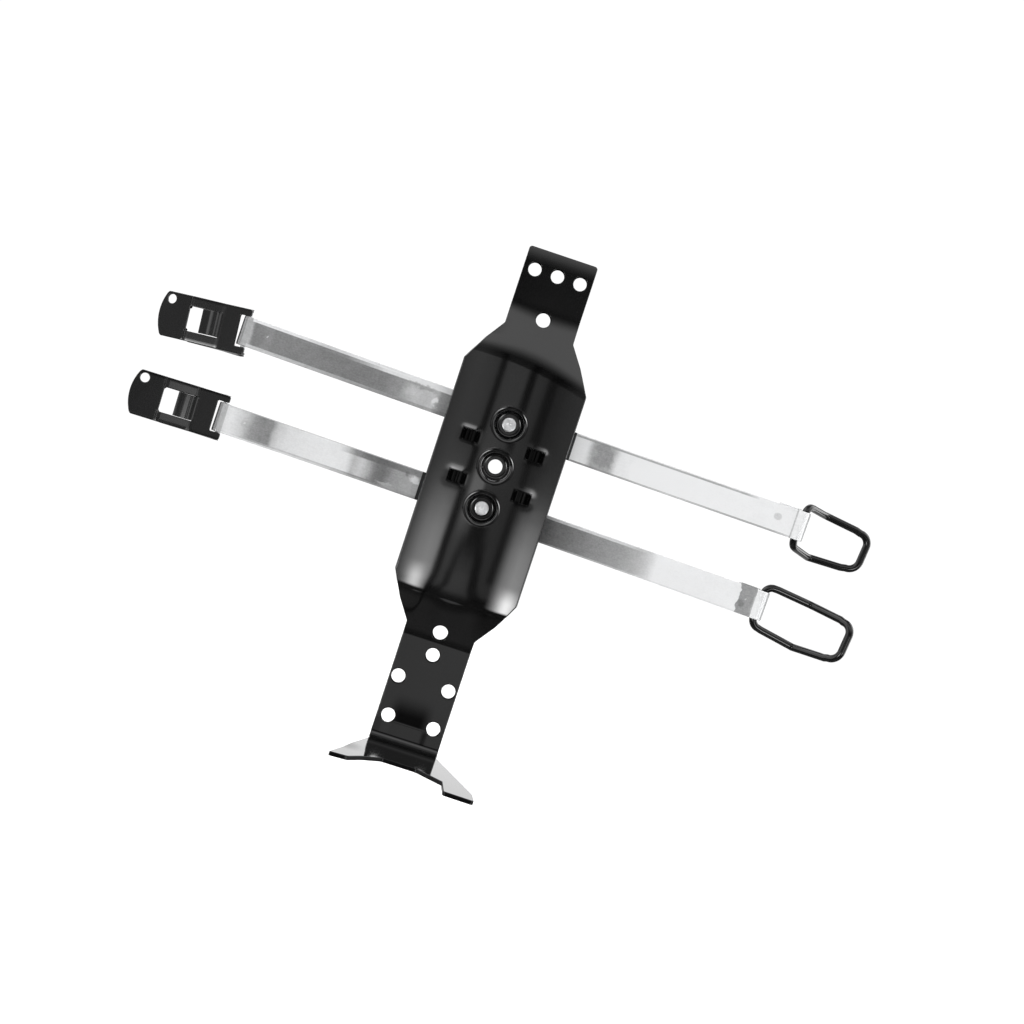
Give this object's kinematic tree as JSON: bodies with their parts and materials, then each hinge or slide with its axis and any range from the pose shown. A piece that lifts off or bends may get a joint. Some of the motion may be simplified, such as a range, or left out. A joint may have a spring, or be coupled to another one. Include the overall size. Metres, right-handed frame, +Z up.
{
  "type": "fire extinguisher bracket",
  "caption": "Wall bracket for a small fire extinguisher: pressed back plate with a trough and a clawed foot, and strip bands with latch levers and wire bails.",
  "frame": {"origin": "on the wall plane, in the middle of the flat upper neck of the back plate, between the row of three screw holes and the single hole under it", "axes": "+Z up, +X to the right seen from the front, +Y into the wall; the bottle stands on the -Y side"},
  "size_m": [0.3115, 0.0588, 0.2151],
  "materials": {
    "black_paint": "gloss black paint on pressed steel",
    "black_lever_paint": "satin gloss black paint on stamped steel",
    "zinc_strip": "bright zinc plating with faint spangle",
    "zinc_rivet": "bright zinc plating",
    "black_wire": "gloss black paint on steel wire"
  },
  "bodies": {
    "frame": {"back_plate": "black_paint", "upper_band": "zinc_strip", "lower_band": "zinc_strip", "upper_band_rivet": "zinc_rivet", "lower_band_rivet": "zinc_rivet"},
    "upper_lever": {"upper_latch_lever": "black_lever_paint", "upper_hinge_pin": "zinc_rivet"},
    "lower_lever": {"lower_latch_lever": "black_lever_paint", "lower_hinge_pin": "zinc_rivet"},
    "upper_loop": {"upper_bail": "black_wire"},
    "lower_loop": {"lower_bail": "black_wire"}
  },
  "joints": [
    {"name": "upper_lever_hinge", "type": "hinge", "parent": "frame", "child": "upper_lever", "pos_m": [-0.11278, -0.00983, -0.05223], "axis": [-0.0793, 0, 0.9969], "range_deg": [-162, 51]},
    {"name": "lower_lever_hinge", "type": "hinge", "parent": "frame", "child": "lower_lever", "pos_m": [-0.11177, -0.00962, -0.08835], "axis": [-0.0166, 0, 0.9999], "range_deg": [-178, 35]},
    {"name": "upper_bail_hinge", "type": "hinge", "parent": "frame", "child": "upper_loop", "pos_m": [0.12549, -0.01229, -0.0566], "axis": [0.0828, 0, 0.9966], "range_deg": [-190, 108]},
    {"name": "lower_bail_hinge", "type": "hinge", "parent": "frame", "child": "lower_loop", "pos_m": [0.12029, -0.01107, -0.09261], "axis": [0.0915, 0, 0.9958], "range_deg": [-145, 153]}
  ]
}
